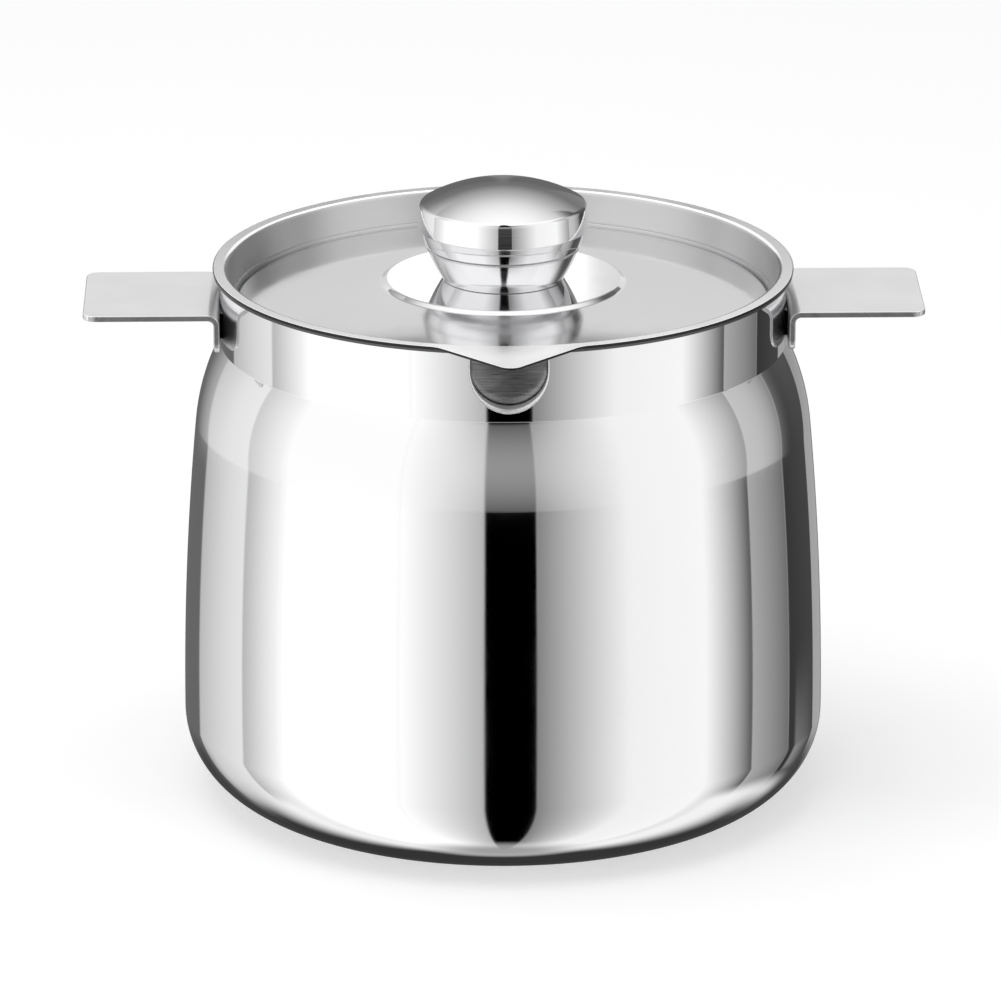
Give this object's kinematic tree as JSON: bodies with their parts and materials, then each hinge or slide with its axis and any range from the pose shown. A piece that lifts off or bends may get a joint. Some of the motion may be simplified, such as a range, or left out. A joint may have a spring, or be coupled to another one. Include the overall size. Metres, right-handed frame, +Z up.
{
  "type": "oil storage container",
  "caption": "Polished steel oil pot with a drop-in strainer, a recessed domed lid with a mushroom knob, side tab handles and a U-shaped pour hole under a V-shaped lip.",
  "frame": {"origin": "middle of the ring that the pot stands on, on the pot's axis", "axes": "+Z up along the pot's axis, -Y to the pouring side with the lip and the pour hole, handles along +X and -X"},
  "size_m": [0.214, 0.1726, 0.1619],
  "materials": {
    "pot_polish": "mirror-polished stainless steel",
    "handle_satin": "satin stainless steel",
    "strainer_satin": "satin stainless steel, brushed around the cup",
    "lid_polish": "polished stainless steel",
    "knob_polish": "mirror-polished stainless steel",
    "fastener_steel": "plain zinc-grey steel"
  },
  "bodies": {
    "pot": {"pot_body": "pot_polish", "left_handle": "handle_satin", "right_handle": "handle_satin"},
    "strainer": {"strainer_basket": "strainer_satin", "lid_seat": "strainer_satin", "strainer_plate": "strainer_satin", "strainer_ring": "strainer_satin"},
    "lid": {"lid_disc": "lid_polish", "knob_bowl": "knob_polish", "knob_cap": "knob_polish", "knob_insert": "fastener_steel", "knob_screw": "fastener_steel", "flat_washer": "fastener_steel", "spring_washer": "fastener_steel"}
  },
  "joints": [
    {"name": "strainer_lift", "type": "slide", "parent": "pot", "child": "strainer", "axis": [0, 0, 1], "range_m": [0, 0.16]},
    {"name": "lid_lift", "type": "slide", "parent": "strainer", "child": "lid", "axis": [0, 0, 1], "range_m": [0, 0.1]}
  ]
}
